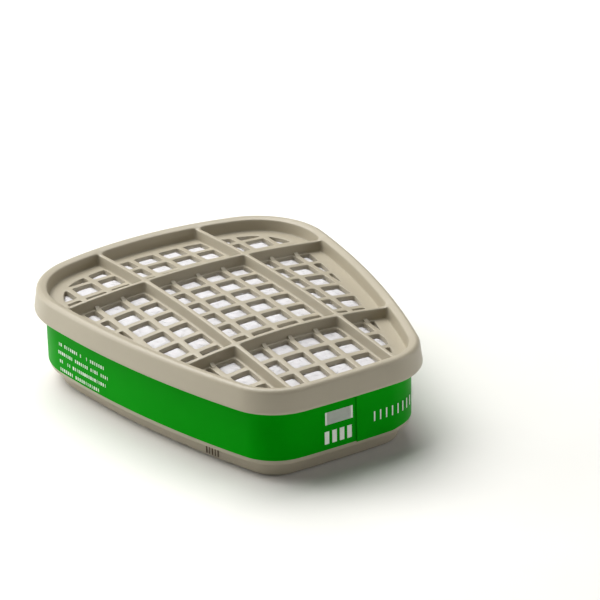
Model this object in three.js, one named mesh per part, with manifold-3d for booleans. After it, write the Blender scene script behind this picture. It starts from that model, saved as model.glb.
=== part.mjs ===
// A bayonet gas and vapour cartridge for a respirator: a flat trapezoidal canister that stands on its
// back, with its air inlet grille on top (+Z) and its narrow end towards -Y. Millimetres.

import * as THREE from 'three';
import { mergeVertices } from 'three/addons/utils/BufferGeometryUtils.js';
import { ParametricGeometry } from 'three/addons/geometries/ParametricGeometry.js';
import Module from 'manifold-3d';

const wasm = await Module();
wasm.setup();

// ---- plan outline: a symmetric trapezoid of six kinds of arc, measured at the cover's lower lip

const LENGTH = 104;
const FRONT_RADIUS = 394;        // the nearly straight narrow end
const REAR_RADIUS = 99;          // the bowed wide end
const SIDE_RADIUS = 255;         // the long sides
const SIDE_HALF_WIDTH = 43.2;    // where the side arc is widest
const SIDE_APEX_Y = 48;
const FRONT_CORNER = 15;
const REAR_CORNER = 21.7;

// ---- heights above the back face

const BASE_HEIGHT = 4.4;         // the inset foot of the body
const LABEL_BOTTOM = 5.8;
const SKIRT_BOTTOM = 19.5;
const LABEL_TOP = 19.9;
const WALL_TOP = 20.3;
const PLATE_BOTTOM = 20.6;
const PLATE_TOP = 22.0;
const RIB_TOP = 24.8;            // at the rim, before the crown is added
const RIM_TOP = 25.8;
const CROWN = 2.9;               // how far the grille is domed at its middle

// ---- insets from the outline

const LABEL_INSET = 2.83;
const LABEL_THICKNESS = 0.25;
const WALL_INSET = 3.18;
const CAVITY_INSET = 4.9;
const BASE_INSET = 6.1;
const BASE_CAVITY_INSET = 7.9;
const CROWN_INSET = 4.2;         // the dome starts here
const PLATE_INSET = 3.7;         // the grille's edge, buried in the rim
const GRILLE_INSET = 7.6;        // no hole reaches past this line
const SPIGOT_INSET = 5.2;        // the cover's tongue inside the body
const SPIGOT_THICKNESS = 1.2;
const SPIGOT_DEPTH = 1.4;
const CONTENT_INSET = 5.2;       // grid, filters and sorbent inside the cavity
const SKIRT_INNER_INSET = 2.2;
const RIM_SHOULDER = 0.8;        // width and, less a quarter, height of the rim's rounded outer edge
const RIM_INNER_INSET = 3.45;
const RIM_EDGE = 0.5;

// ---- grille

const PITCH = 7.5;
const HOLE = 5.7;
const RIB_THICKNESS = 1.4;
const LONG_RIB_X = 2 * PITCH;
const CROSS_RIB_Y = 3 * PITCH;
const SMALLEST_HOLE = 1.5;       // area left out when the edge cuts a hole this small

// ---- inside

const GAP = 0.3;
const PAD_GAP = 0.6;             // the soft pad stays clear of the faceted dome above it
const BACK_THICKNESS = 1.8;
const SHELF_TOP = 6.2;           // inner shelf that carries the support grid
const GRID_THICKNESS = 1.4;
const OUTLET_FILTER_THICKNESS = 1.0;
const INLET_PAD_THICKNESS = 1.6;
const SLOT_LENGTH = 11;
const SLOT_WIDTH = 3.2;
const SLOT_PITCH_X = 13.6;
const SLOT_PITCH_Y = 5.2;
const FIN_COUNT = 8;
const FIN_THICKNESS = 1.3;

// ---- bayonet socket

const BORE_RADIUS = 17.5;
const RING_RADIUS = 22;
const FLANGE_RADIUS = 24;
const FLANGE_THICKNESS = 1.2;
const RING_HEIGHT = 6.1;
const RING_FLOOR = 5.1;
const LUG_COUNT = 3;
const LUG_INNER_RADIUS = 15.2;
const LUG_HEIGHT = 1.6;
const LUG_ANGLE = THREE.MathUtils.degToRad(34);
const STOP_ANGLE = THREE.MathUtils.degToRad(5);
const STOP_HEIGHT = 3.6;
const STOP_INNER_RADIUS = 16.2;
const ROOT = 0.6;                // how far a lug or stop reaches into the ring it stands on
const WINDOW_COUNT = 6;
const WINDOW_INNER_RADIUS = 5;
const WINDOW_OUTER_RADIUS = 15;
const SPOKE_WIDTH = 2.2;

// ---- label seam, where the band's end overlaps its start on the narrow end

const SEAM_X = 2.7;
const SEAM_OVERLAP = 9;
const SEAM_RAMP = 3;
const SEAM_LIFT = 0.3;

// ---- the outline and what is made from it

const sideCentre = new THREE.Vector2(SIDE_HALF_WIDTH - SIDE_RADIUS, SIDE_APEX_Y);
const frontCentre = new THREE.Vector2(0, FRONT_RADIUS - LENGTH / 2);
const rearCentre = new THREE.Vector2(0, LENGTH / 2 - REAR_RADIUS);
const frontCornerCentre = cornerCentre(frontCentre, FRONT_RADIUS, FRONT_CORNER, -1);
const rearCornerCentre = cornerCentre(rearCentre, REAR_RADIUS, REAR_CORNER, 1);

// The centre of a corner arc that touches the end arc and the side arc from inside.
function cornerCentre(endCentre, endRadius, corner, end) {
  const toEnd = endRadius - corner;
  const toSide = SIDE_RADIUS - corner;
  const apart = sideCentre.clone().sub(endCentre);
  const distance = apart.length();
  const along = (toEnd ** 2 - toSide ** 2 + distance ** 2) / (2 * distance);
  const across = Math.sqrt(toEnd ** 2 - along ** 2);
  const foot = endCentre.clone().addScaledVector(apart.normalize(), along);
  const sideways = new THREE.Vector2(-apart.y, apart.x).multiplyScalar(across);
  const choices = [foot.clone().add(sideways), foot.clone().sub(sideways)];
  return choices.find((point) => point.x > 0 && point.y * end > 0);
}

function direction(from, to) {
  return Math.atan2(to.y - from.y, to.x - from.x);
}

// The outline moved inwards by inset, anticlockwise from the middle of the narrow end.
function outline(inset) {
  const arcs = [
    [frontCentre, FRONT_RADIUS, -Math.PI / 2, direction(frontCentre, frontCornerCentre), 3],
    [frontCornerCentre, FRONT_CORNER, direction(frontCentre, frontCornerCentre),
      direction(sideCentre, frontCornerCentre), 6],
    [sideCentre, SIDE_RADIUS, direction(sideCentre, frontCornerCentre),
      direction(sideCentre, rearCornerCentre), 5],
    [rearCornerCentre, REAR_CORNER, direction(sideCentre, rearCornerCentre),
      direction(rearCentre, rearCornerCentre), 7],
    [rearCentre, REAR_RADIUS, direction(rearCentre, rearCornerCentre), Math.PI / 2, 3],
  ];
  const right = [];
  for (const [centre, radius, start, end, steps] of arcs) {
    for (let step = 0; step < steps; step += 1) {
      const angle = start + (end - start) * step / steps;
      const reach = radius - inset;
      right.push(new THREE.Vector2(
        centre.x + reach * Math.cos(angle), centre.y + reach * Math.sin(angle)));
    }
  }
  right[0].x = 0;
  const left = right.slice(1).reverse().map((point) => new THREE.Vector2(-point.x, point.y));
  return [...right, new THREE.Vector2(0, LENGTH / 2 - inset), ...left];
}

// The dome of the grille, 1 in the middle and 0 from the crown line outwards.
function dome(x, y) {
  const halfWidth = sideCentre.x + Math.sqrt(SIDE_RADIUS ** 2 - (y - SIDE_APEX_Y) ** 2) - CROWN_INSET;
  const across = Math.max(0, 1 - (x / halfWidth) ** 2);
  const along = Math.max(0, 1 - (y / (LENGTH / 2 - CROWN_INSET)) ** 2);
  return across * along;
}

function crowned(geometry) {
  const position = geometry.attributes.position;
  for (let i = 0; i < position.count; i += 1) {
    const lift = CROWN * dome(position.getX(i), position.getY(i));
    position.setZ(i, position.getZ(i) + lift);
  }
  return geometry;
}

// ---- solids

function plain(geometry) {
  const copy = geometry.clone();
  copy.deleteAttribute('normal');
  copy.deleteAttribute('uv');
  return mergeVertices(copy, 1e-4);
}

function toSolid(geometry) {
  const merged = plain(geometry);
  return new wasm.Manifold(new wasm.Mesh({
    numProp: 3,
    vertProperties: new Float32Array(merged.attributes.position.array),
    triVerts: new Uint32Array(merged.index.array),
  }));
}

function toGeometry(solid) {
  const mesh = solid.getMesh();
  const geometry = new THREE.BufferGeometry();
  geometry.setAttribute('position', new THREE.BufferAttribute(mesh.vertProperties, 3));
  geometry.setIndex(new THREE.BufferAttribute(mesh.triVerts, 1));
  return geometry;
}

function extrusion(points, bottom, top) {
  const geometry = new THREE.ExtrudeGeometry(
    new THREE.Shape(points), { depth: top - bottom, bevelEnabled: false });
  return geometry.translate(0, 0, bottom);
}

function prism(inset, bottom, top) {
  return toSolid(extrusion(outline(inset), bottom, top));
}

function block(width, length, bottom, top, x, y) {
  const box = new THREE.BoxGeometry(width, length, top - bottom);
  return toSolid(box.translate(x, y, (bottom + top) / 2));
}

function disc(radius, bottom, top) {
  const cylinder = new THREE.CylinderGeometry(radius, radius, top - bottom, 48);
  return toSolid(cylinder.rotateX(Math.PI / 2).translate(0, 0, (bottom + top) / 2));
}

// A closed ring that follows the outline with a section of [inset, height] corners.
function ringAlongOutline(section) {
  const loops = section.map(([inset]) => outline(inset));
  const around = loops[0].length;
  const surface = (u, v, target) => {
    const corner = Math.round(v * section.length) % section.length;
    const point = loops[corner][Math.round(u * around) % around];
    target.set(point.x, point.y, section[corner][1]);
  };
  return new ParametricGeometry(surface, around, section.length);
}

// A domed layer of even thickness, built of rings that shrink to its middle.
function domedLayer(inset, bottom, top) {
  const edge = outline(inset);
  const around = edge.length;
  const scales = [0, 0.2, 0.4, 0.6, 0.8, 1];
  const stations = [
    ...scales.map((scale) => [scale, bottom]),
    ...scales.slice().reverse().map((scale) => [scale, top]),
  ];
  const surface = (u, v, target) => {
    const [scale, height] = stations[Math.round(v * (stations.length - 1))];
    const point = edge[Math.round(u * around) % around];
    target.set(point.x * scale, point.y * scale, height);
  };
  const geometry = plain(new ParametricGeometry(surface, around, stations.length - 1));
  return crowned(withoutEmptyFaces(geometry));
}

// Rings that shrink to a point leave faces with two equal corners, which are dropped here.
function withoutEmptyFaces(geometry) {
  const index = geometry.index.array;
  const kept = [];
  for (let i = 0; i < index.length; i += 3) {
    const [a, b, c] = index.slice(i, i + 3);
    if (a !== b && b !== c && c !== a) kept.push(a, b, c);
  }
  geometry.setIndex(kept);
  return geometry;
}

// ---- sub-parts

// The rim, with its skirt outside the body wall and its spigot inside it.
function rim() {
  const spigotInner = SPIGOT_INSET + SPIGOT_THICKNESS;
  return toSolid(ringAlongOutline([
    [RIM_SHOULDER, RIM_TOP - 0.75 * RIM_SHOULDER],
    [2 * RIM_SHOULDER, RIM_TOP],
    [RIM_INNER_INSET - RIM_EDGE, RIM_TOP],
    [RIM_INNER_INSET, RIM_TOP - RIM_EDGE],
    [PLATE_INSET + 0.1, PLATE_TOP - 0.1],
    [spigotInner, PLATE_TOP - SPIGOT_DEPTH / 2],
    [spigotInner, PLATE_BOTTOM - SPIGOT_DEPTH],
    [SPIGOT_INSET, PLATE_BOTTOM - SPIGOT_DEPTH],
    [SPIGOT_INSET, PLATE_BOTTOM],
    [SKIRT_INNER_INSET, PLATE_BOTTOM],
    [SKIRT_INNER_INSET, SKIRT_BOTTOM],
    [0.3, SKIRT_BOTTOM],
    [0, SKIRT_BOTTOM + 0.4],
  ]));
}

function grillePlate() {
  const field = prism(GRILLE_INSET, PLATE_BOTTOM - 1, PLATE_TOP + 1);
  const depth = PLATE_TOP - PLATE_BOTTOM + 2;
  let plate = prism(PLATE_INSET, PLATE_BOTTOM, PLATE_TOP);
  for (let column = -6; column < 6; column += 1) {
    for (let row = -7; row < 7; row += 1) {
      const x = (column + 0.5) * PITCH;
      const y = (row + 0.5) * PITCH;
      const hole = block(HOLE, HOLE, PLATE_BOTTOM - 1, PLATE_TOP + 1, x, y).intersect(field);
      if (hole.volume() > SMALLEST_HOLE * depth) plate = plate.subtract(hole);
    }
  }
  return toSolid(crowned(toGeometry(plate)));
}

function rib(width, length, x, y) {
  const root = (PLATE_BOTTOM + PLATE_TOP) / 2;
  const across = Math.max(1, Math.round(width / PITCH));
  const along = Math.max(1, Math.round(length / PITCH));
  const box = new THREE.BoxGeometry(width, length, RIB_TOP - root, across, along, 1);
  return toSolid(crowned(plain(box.translate(x, y, (root + RIB_TOP) / 2))));
}

function coarseRibs() {
  const inside = prism(3.2, PLATE_BOTTOM, RIM_TOP + CROWN);
  const ribs = [
    rib(RIB_THICKNESS, LENGTH, -LONG_RIB_X, 0),
    rib(RIB_THICKNESS, LENGTH, LONG_RIB_X, 0),
    rib(LENGTH, RIB_THICKNESS, 0, -CROSS_RIB_Y),
    rib(LENGTH, RIB_THICKNESS, 0, CROSS_RIB_Y),
  ];
  return ribs.reduce((joined, next) => joined.add(next)).intersect(inside);
}

function coverGeometry() {
  return toGeometry(rim().add(grillePlate()).add(coarseRibs()));
}

function fins() {
  const room = prism(BASE_CAVITY_INSET - 0.6, BACK_THICKNESS - 0.3, SHELF_TOP);
  const inner = FLANGE_RADIUS + 0.8;
  const solids = [];
  for (let i = 0; i < FIN_COUNT; i += 1) {
    const angle = (i + 0.5) * 2 * Math.PI / FIN_COUNT;
    const box = new THREE.BoxGeometry(LENGTH / 2, FIN_THICKNESS, SHELF_TOP - BACK_THICKNESS + 0.3);
    box.translate(inner + LENGTH / 4, 0, (SHELF_TOP + BACK_THICKNESS - 0.3) / 2);
    solids.push(toSolid(box.rotateZ(angle)).intersect(room));
  }
  return solids;
}

// The cup: an inset foot, a ledge, a wall, an inner shelf, and fins that carry the support grid.
function bodyGeometry() {
  let body = prism(BASE_INSET, 0, BASE_HEIGHT + 0.4).add(prism(WALL_INSET, BASE_HEIGHT, WALL_TOP));
  body = body.subtract(prism(BASE_CAVITY_INSET, BACK_THICKNESS, SHELF_TOP + 0.4));
  body = body.subtract(prism(CAVITY_INSET, SHELF_TOP, WALL_TOP + 1));
  for (const fin of fins()) body = body.add(fin);
  return toGeometry(body.subtract(disc(RING_RADIUS + GAP, -1, BACK_THICKNESS + 1)));
}

function sector(inner, outer, centreAngle, angle, bottom, top) {
  const shape = new THREE.Shape();
  shape.absarc(0, 0, outer, centreAngle - angle / 2, centreAngle + angle / 2, false);
  shape.absarc(0, 0, inner, centreAngle + angle / 2, centreAngle - angle / 2, true);
  const geometry = new THREE.ExtrudeGeometry(
    shape, { depth: top - bottom, bevelEnabled: false, curveSegments: 6 });
  return toSolid(geometry.translate(0, 0, bottom));
}

// The socket insert: a bore with three inward lugs and their stops, under a spoked floor.
function bayonetGeometry() {
  const flangeBottom = BACK_THICKNESS + GAP;
  const flangeTop = flangeBottom + FLANGE_THICKNESS;
  const profile = [
    [0, RING_FLOOR], [BORE_RADIUS, RING_FLOOR], [BORE_RADIUS, 0], [RING_RADIUS, 0],
    [RING_RADIUS, flangeBottom], [FLANGE_RADIUS, flangeBottom], [FLANGE_RADIUS, flangeTop],
    [RING_RADIUS, flangeTop], [RING_RADIUS, RING_HEIGHT], [0, RING_HEIGHT],
  ].map(([radius, height]) => new THREE.Vector2(radius, height));
  const lathe = new THREE.LatheGeometry(profile, 48).rotateX(Math.PI / 2);
  let ring = toSolid(withoutEmptyFaces(plain(lathe)));
  for (let i = 0; i < LUG_COUNT; i += 1) {
    const angle = Math.PI / 2 + i * 2 * Math.PI / LUG_COUNT;
    const stopAt = angle + (LUG_ANGLE + STOP_ANGLE) / 2 - 0.02;
    ring = ring.add(sector(LUG_INNER_RADIUS, BORE_RADIUS + ROOT, angle, LUG_ANGLE, 0, LUG_HEIGHT));
    ring = ring.add(sector(STOP_INNER_RADIUS, BORE_RADIUS + ROOT, stopAt, STOP_ANGLE, 0, STOP_HEIGHT));
  }
  const middle = (WINDOW_INNER_RADIUS + WINDOW_OUTER_RADIUS) / 2;
  const windowAngle = 2 * Math.PI / WINDOW_COUNT - SPOKE_WIDTH / middle;
  for (let i = 0; i < WINDOW_COUNT; i += 1) {
    const angle = i * 2 * Math.PI / WINDOW_COUNT;
    ring = ring.subtract(sector(
      WINDOW_INNER_RADIUS, WINDOW_OUTER_RADIUS, angle, windowAngle, RING_FLOOR - 1, RING_HEIGHT + 1));
  }
  return toGeometry(ring);
}

function supportGridGeometry() {
  const bottom = SHELF_TOP + GAP;
  const field = prism(CONTENT_INSET + 3.5, bottom - 1, bottom + GRID_THICKNESS + 1);
  let grid = prism(CONTENT_INSET, bottom, bottom + GRID_THICKNESS);
  for (let column = -3; column < 3; column += 1) {
    for (let row = -9; row < 9; row += 1) {
      const x = (column + 0.5) * SLOT_PITCH_X;
      const y = (row + 0.5) * SLOT_PITCH_Y;
      const slot = block(SLOT_LENGTH, SLOT_WIDTH, bottom - 1, bottom + GRID_THICKNESS + 1, x, y)
        .intersect(field);
      if (slot.volume() > SLOT_WIDTH ** 2 * GRID_THICKNESS) grid = grid.subtract(slot);
    }
  }
  return toGeometry(grid);
}

function outletFilterGeometry() {
  const bottom = SHELF_TOP + GRID_THICKNESS + 2 * GAP;
  return extrusion(outline(CONTENT_INSET), bottom, bottom + OUTLET_FILTER_THICKNESS);
}

function sorbentGeometry() {
  const floor = SHELF_TOP + GRID_THICKNESS + OUTLET_FILTER_THICKNESS + 3 * GAP;
  const top = PLATE_BOTTOM - PAD_GAP - INLET_PAD_THICKNESS - GAP;
  const layer = domedLayer(CONTENT_INSET, floor - CROWN - 1, top);
  return toGeometry(toSolid(layer).intersect(prism(0, floor, RIM_TOP + CROWN)));
}

function inletPadGeometry() {
  const top = PLATE_BOTTOM - PAD_GAP;
  return domedLayer(SPIGOT_INSET + SPIGOT_THICKNESS + GAP, top - INLET_PAD_THICKNESS, top);
}

// The point of an inset outline at a given x on the narrow end.
function onNarrowEnd(x, inset) {
  const reach = FRONT_RADIUS - inset;
  return new THREE.Vector2(x, frontCentre.y - Math.sqrt(reach ** 2 - x ** 2));
}

// One band whose end lies over its start, as a spiral of one turn and a little more.
function labelGeometry() {
  const inner = LABEL_INSET + LABEL_THICKNESS;
  const lapped = LABEL_INSET - SEAM_LIFT;
  const lapEnd = SEAM_X + SEAM_OVERLAP;
  const rampStart = SEAM_X - SEAM_RAMP;
  const between = (point) => point.y < -LENGTH / 4 && point.x > rampStart - 1 && point.x < SEAM_X + 1;
  const outer = outline(LABEL_INSET).filter((point) => !between(point));
  const hidden = outline(inner).filter((point) => !between(point));
  const points = [
    onNarrowEnd(SEAM_X + GAP, LABEL_INSET),
    ...outer,
    onNarrowEnd(rampStart, LABEL_INSET),
    onNarrowEnd(SEAM_X, lapped),
    onNarrowEnd(lapEnd, lapped),
    onNarrowEnd(lapEnd, lapped + LABEL_THICKNESS),
    onNarrowEnd(SEAM_X, lapped + LABEL_THICKNESS),
    onNarrowEnd(rampStart, inner),
    ...hidden.reverse(),
    onNarrowEnd(SEAM_X + GAP, inner),
  ];
  return extrusion(points, LABEL_BOTTOM, LABEL_TOP);
}

// ---- assembly

function material(color, roughness) {
  return new THREE.MeshStandardMaterial({ color, roughness, metalness: 0 });
}

function part(name, geometry, finish) {
  const mesh = new THREE.Mesh(geometry, finish);
  mesh.name = name;
  return mesh;
}

const cartridge = new THREE.Group();
cartridge.add(
  part('body_shell', bodyGeometry(), material('#b3a893', 0.55)),
  part('bayonet_ring', bayonetGeometry(), material('#a99e89', 0.5)),
  part('support_grid', supportGridGeometry(), material('#d9d6cc', 0.6)),
  part('outlet_filter', outletFilterGeometry(), material('#ecebe6', 0.95)),
  part('sorbent_bed', sorbentGeometry(), material('#1d1d1f', 0.9)),
  part('inlet_pad', inletPadGeometry(), material('#f2f1ee', 0.95)),
  part('inlet_cover', coverGeometry(), material('#c4baa8', 0.55)),
  part('label_band', labelGeometry(), material('#0a8a1e', 0.35)),
);

export default cartridge;
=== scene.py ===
import math

import bmesh
import bpy
from mathutils import Matrix, Vector, geometry, kdtree


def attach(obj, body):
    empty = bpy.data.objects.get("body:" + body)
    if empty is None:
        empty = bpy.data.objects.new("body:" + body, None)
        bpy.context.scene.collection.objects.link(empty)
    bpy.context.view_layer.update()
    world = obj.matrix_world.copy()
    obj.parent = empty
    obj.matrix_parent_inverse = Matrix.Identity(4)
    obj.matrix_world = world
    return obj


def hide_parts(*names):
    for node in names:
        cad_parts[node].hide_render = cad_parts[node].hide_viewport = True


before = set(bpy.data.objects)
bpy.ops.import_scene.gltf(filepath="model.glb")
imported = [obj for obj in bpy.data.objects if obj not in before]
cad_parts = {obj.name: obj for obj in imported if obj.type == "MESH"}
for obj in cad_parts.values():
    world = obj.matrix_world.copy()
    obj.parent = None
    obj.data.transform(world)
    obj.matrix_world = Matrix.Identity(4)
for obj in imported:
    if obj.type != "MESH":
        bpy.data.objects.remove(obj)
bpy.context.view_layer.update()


# ---- The view: a long studio lens that looks down on the narrow end from the left of it, a plain pale
# table against a pale backdrop, and soft boxes overhead and at both sides. The side that faces the lens
# gets the least light.
view_azimuth = math.radians(-31.8)
view_elevation = math.radians(24.8)
view_roll = math.radians(1.08)
view_distance = 0.7408
view_aside = 0.01465
view_above = 0.02337

towards_camera = Vector((
    math.sin(view_azimuth) * math.cos(view_elevation),
    -math.cos(view_azimuth) * math.cos(view_elevation),
    math.sin(view_elevation)))
level_right = Vector((math.cos(view_azimuth), math.sin(view_azimuth), 0))
level_up = towards_camera.cross(level_right)
frame_right = level_right * math.cos(view_roll) - level_up * math.sin(view_roll)
frame_up = level_right * math.sin(view_roll) + level_up * math.cos(view_roll)
lens = bpy.data.cameras.new("studio_lens")
lens.lens = 172.1
lens.sensor_width = 36
lens.clip_end = 20
camera = bpy.data.objects.new("studio_camera", lens)
place = frame_right * view_aside + frame_up * view_above + towards_camera * view_distance
camera.matrix_world = Matrix((
    (frame_right.x, frame_up.x, towards_camera.x, place.x),
    (frame_right.y, frame_up.y, towards_camera.y, place.y),
    (frame_right.z, frame_up.z, towards_camera.z, place.z),
    (0, 0, 0, 1)))
bpy.context.scene.collection.objects.link(camera)
bpy.context.scene.camera = camera
bpy.context.scene.view_settings.view_transform = "Standard"


def soft_box(name, place, target, width, height, power):
    light = bpy.data.lights.new(name, "AREA")
    light.shape = "RECTANGLE"
    light.size = width
    light.size_y = height
    light.energy = power
    lamp = bpy.data.objects.new(name, light)
    lamp.location = place
    aim = Vector(target) - Vector(place)
    lamp.rotation_euler = aim.to_track_quat("-Z", "Y").to_euler()
    bpy.context.scene.collection.objects.link(lamp)


soft_box("overhead_box", (-0.1, 0.4, 0.9), (0, 0, 0), 1.2, 0.9, 17.6)
soft_box("back_left_box", (-0.75, 0.8, 0.4), (0, 0, 0.01), 0.6, 0.6, 5.8)
soft_box("right_box", (0.95, -0.6, 0.3), (0, 0, 0.01), 0.5, 0.5, 2.7)

room = bpy.data.worlds.new("studio_room")
room.use_nodes = True
room_nodes, room_links = room.node_tree.nodes, room.node_tree.links
backdrop = room_nodes["Background"]
backdrop.inputs["Color"].default_value = (0.96, 0.97, 1, 1)
direction = room_nodes.new("ShaderNodeTexCoord")
direction_parts = room_nodes.new("ShaderNodeSeparateXYZ")
fade = room_nodes.new("ShaderNodeMapRange")
# The backdrop is bright near the horizon, and the room above it is nearly dark.
for label, value in {"From Min": 0.08, "From Max": 0.16, "To Min": 0.55, "To Max": 0.03}.items():
    fade.inputs[label].default_value = value
room_links.new(direction.outputs["Generated"], direction_parts.inputs[0])
room_links.new(direction_parts.outputs["Z"], fade.inputs["Value"])
room_links.new(fade.outputs["Result"], backdrop.inputs["Strength"])
bpy.context.scene.world = room


class Wire:
    """A value that runs between two nodes, so that its maths reads as arithmetic."""

    def __init__(self, finish, socket):
        self.finish = finish
        self.socket = socket

    def maths(self, operation, left, right):
        return self.finish.node("ShaderNodeMath", {"operation": operation}, {0: left, 1: right})

    def __add__(self, other):
        return self.maths("ADD", self, other)

    def __radd__(self, other):
        return self.maths("ADD", other, self)

    def __mul__(self, other):
        return self.maths("MULTIPLY", self, other)

    def __rmul__(self, other):
        return self.maths("MULTIPLY", other, self)


class Finish:
    """A material made of one principled shader and the nodes that feed it."""

    def __init__(self, name, **constants):
        self.material = bpy.data.materials.new(name)
        self.material.use_nodes = True
        self.tree = self.material.node_tree
        self.shader = self.tree.nodes["Principled BSDF"]
        for socket, value in constants.items():
            self.shader.inputs[socket.replace("_", " ")].default_value = value

    def node(self, kind, settings, inputs, output=0):
        made = self.tree.nodes.new(kind)
        for setting, value in settings.items():
            setattr(made, setting, value)
        for key, value in inputs.items():
            if isinstance(value, Wire):
                self.tree.links.new(value.socket, made.inputs[key])
            else:
                made.inputs[key].default_value = value
        return Wire(self, made.outputs[output])

    def place(self):
        return self.node("ShaderNodeTexCoord", {}, {}, "Object")

    def noise(self, where, scale, detail=2.0, roughness=0.5):
        return self.node("ShaderNodeTexNoise", {}, {
            "Vector": where, "Scale": scale, "Detail": detail, "Roughness": roughness})

    def blend(self, amount, first, second):
        return self.node("ShaderNodeMix", {"data_type": "RGBA"}, {0: amount, 6: first, 7: second}, 2)

    def bump(self, height, strength, distance, normal=None):
        inputs = {"Height": height, "Strength": strength, "Distance": distance}
        if normal is not None:
            inputs["Normal"] = normal
        return self.node("ShaderNodeBump", {}, inputs)

    def feed(self, socket, wire):
        self.tree.links.new(wire.socket, self.shader.inputs[socket])


def glowing_table_finish():
    # The table also glows faintly. This is painted light: it thins the table's shadows and lights the
    # moulding's foot from below.
    finish = Finish(
        "pale_table", Roughness=0.75, Emission_Color=(1, 1, 1, 1), Emission_Strength=0.02)
    grain = finish.noise(finish.place(), 40.0)
    finish.feed("Base Color", finish.blend(grain, (0.79, 0.78, 0.74, 1), (0.83, 0.82, 0.78, 1)))
    return finish.material


table_mesh = bpy.data.meshes.new("table")
table_reach, table_drop = 1.1, 0.0003
square_corners = ((-1, -1), (1, -1), (1, 1), (-1, 1))
table_mesh.from_pydata(
    [(x * table_reach, y * table_reach, -table_drop) for x, y in square_corners],
    [], [(0, 1, 2, 3)])
table_mesh.materials.append(glowing_table_finish())
table = bpy.data.objects.new("table", table_mesh)
bpy.context.scene.collection.objects.link(table)


# ---- The body: one deep moulding in warm greige polypropylene. An inset foot carries a wall with a small
# ledge below the label, and the open top is closed by the cover. Sizes are in millimetres from here on.
length = 104
front_radius, rear_radius, side_radius = 394, 99, 255
side_half_width, side_apex_y = 43.2, 48
front_corner, rear_corner = 15, 21.7
side_centre = Vector((side_half_width - side_radius, side_apex_y))
front_centre = Vector((0, front_radius - length / 2))
rear_centre = Vector((0, length / 2 - rear_radius))


def corner_centre(end_centre, end_radius, corner, end):
    """The centre of a corner arc that touches an end arc and a side arc from inside."""
    to_end = end_radius - corner
    to_side = side_radius - corner
    apart = side_centre - end_centre
    along = (to_end ** 2 - to_side ** 2 + apart.length_squared) / (2 * apart.length)
    across = math.sqrt(to_end ** 2 - along ** 2)
    apart.normalize()
    foot = end_centre + apart * along
    sideways = Vector((-apart.y, apart.x)) * across
    return next(p for p in (foot + sideways, foot - sideways) if p.x > 0 and p.y * end > 0)


front_corner_centre = corner_centre(front_centre, front_radius, front_corner, -1)
rear_corner_centre = corner_centre(rear_centre, rear_radius, rear_corner, 1)


def heading(start, end):
    return math.atan2(end.y - start.y, end.x - start.x)


outline_arcs = (
    (front_centre, front_radius, -math.pi / 2, heading(front_centre, front_corner_centre), 14),
    (front_corner_centre, front_corner, heading(front_centre, front_corner_centre),
     heading(side_centre, front_corner_centre), 18),
    (side_centre, side_radius, heading(side_centre, front_corner_centre),
     heading(side_centre, rear_corner_centre), 44),
    (rear_corner_centre, rear_corner, heading(side_centre, rear_corner_centre),
     heading(rear_centre, rear_corner_centre), 26),
    (rear_centre, rear_radius, heading(rear_centre, rear_corner_centre), math.pi / 2, 18),
)


def outline(inset):
    """The plan outline moved inwards, anticlockwise from the middle of the narrow end."""
    right = []
    for centre, radius, start, end, steps in outline_arcs:
        for step in range(steps):
            angle = start + (end - start) * step / steps
            reach = radius - inset
            right.append(centre + Vector((math.cos(angle), math.sin(angle))) * reach)
    left = [Vector((-p.x, p.y)) for p in reversed(right[1:])]
    return right + [Vector((0, length / 2 - inset))] + left


def inset_of(point):
    """How far a point lies inside the plan outline."""
    p = Vector((abs(point[0]), point[1]))
    for centre, radius, start, end, _ in (outline_arcs[1], outline_arcs[3]):
        if start <= heading(centre, p) <= end:
            return radius - (p - centre).length
    return min(
        side_radius - (p - side_centre).length,
        front_radius - (p - front_centre).length,
        rear_radius - (p - rear_centre).length)


class Skin:
    """A closed skin in millimetres, made of loops of points, bands between them and flat fills."""

    def __init__(self):
        self.points = []
        self.faces = []

    def loop(self, points):
        start = len(self.points)
        self.points.extend(tuple(p) for p in points)
        return list(range(start, len(self.points)))

    def band(self, first, second):
        count = len(first)
        for i in range(count):
            j = (i + 1) % count
            self.faces.append((first[i], first[j], second[j], second[i]))

    def bands(self, loops):
        for first, second in zip(loops, loops[1:]):
            self.band(first, second)

    def fill(self, outer, holes, height, spacing):
        """Triangles inside the outer loop and outside the holes, with inner points on a height."""
        indices = []
        borders = []
        for ring in [outer] + holes:
            borders.append(list(range(len(indices), len(indices) + len(ring))))
            indices.extend(ring)
        flat = [Vector(self.points[i][:2]) for i in indices]
        tree = kdtree.KDTree(len(flat))
        for i, p in enumerate(flat):
            tree.insert((p.x, p.y, 0), i)
        tree.balance()
        lows = [min(p[axis] for p in flat) for axis in (0, 1)]
        highs = [max(p[axis] for p in flat) for axis in (0, 1)]
        closest = 0.55 * spacing
        for row in range(1, int((highs[1] - lows[1]) / spacing) + 1):
            for column in range(1, int((highs[0] - lows[0]) / spacing) + 1):
                x = lows[0] + (column - 0.5 * (row % 2)) * spacing
                y = lows[1] + row * spacing
                if tree.find((x, y, 0))[2] > closest:
                    flat.append(Vector((x, y)))
        made, _, triangles, origins, _, _ = geometry.delaunay_2d_cdt(flat, [], borders, 2, 1e-6)
        numbers = {}
        for triangle in triangles:
            corners = []
            for corner in triangle:
                if corner not in numbers:
                    origin = origins[corner][0] if origins[corner] else len(indices)
                    if origin < len(indices):
                        numbers[corner] = indices[origin]
                    else:
                        p = made[corner]
                        numbers[corner] = len(self.points)
                        self.points.append((p.x, p.y, height(p)))
                corners.append(numbers[corner])
            self.faces.append(tuple(corners))

    def piece(self, name, material):
        mesh = bpy.data.meshes.new(name)
        mesh.from_pydata([tuple(0.001 * c for c in p) for p in self.points], [], self.faces)
        mesh.materials.append(material)
        made = bpy.data.objects.new(name, mesh)
        bpy.context.scene.collection.objects.link(made)
        tidy_normals(made)
        return made


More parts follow.
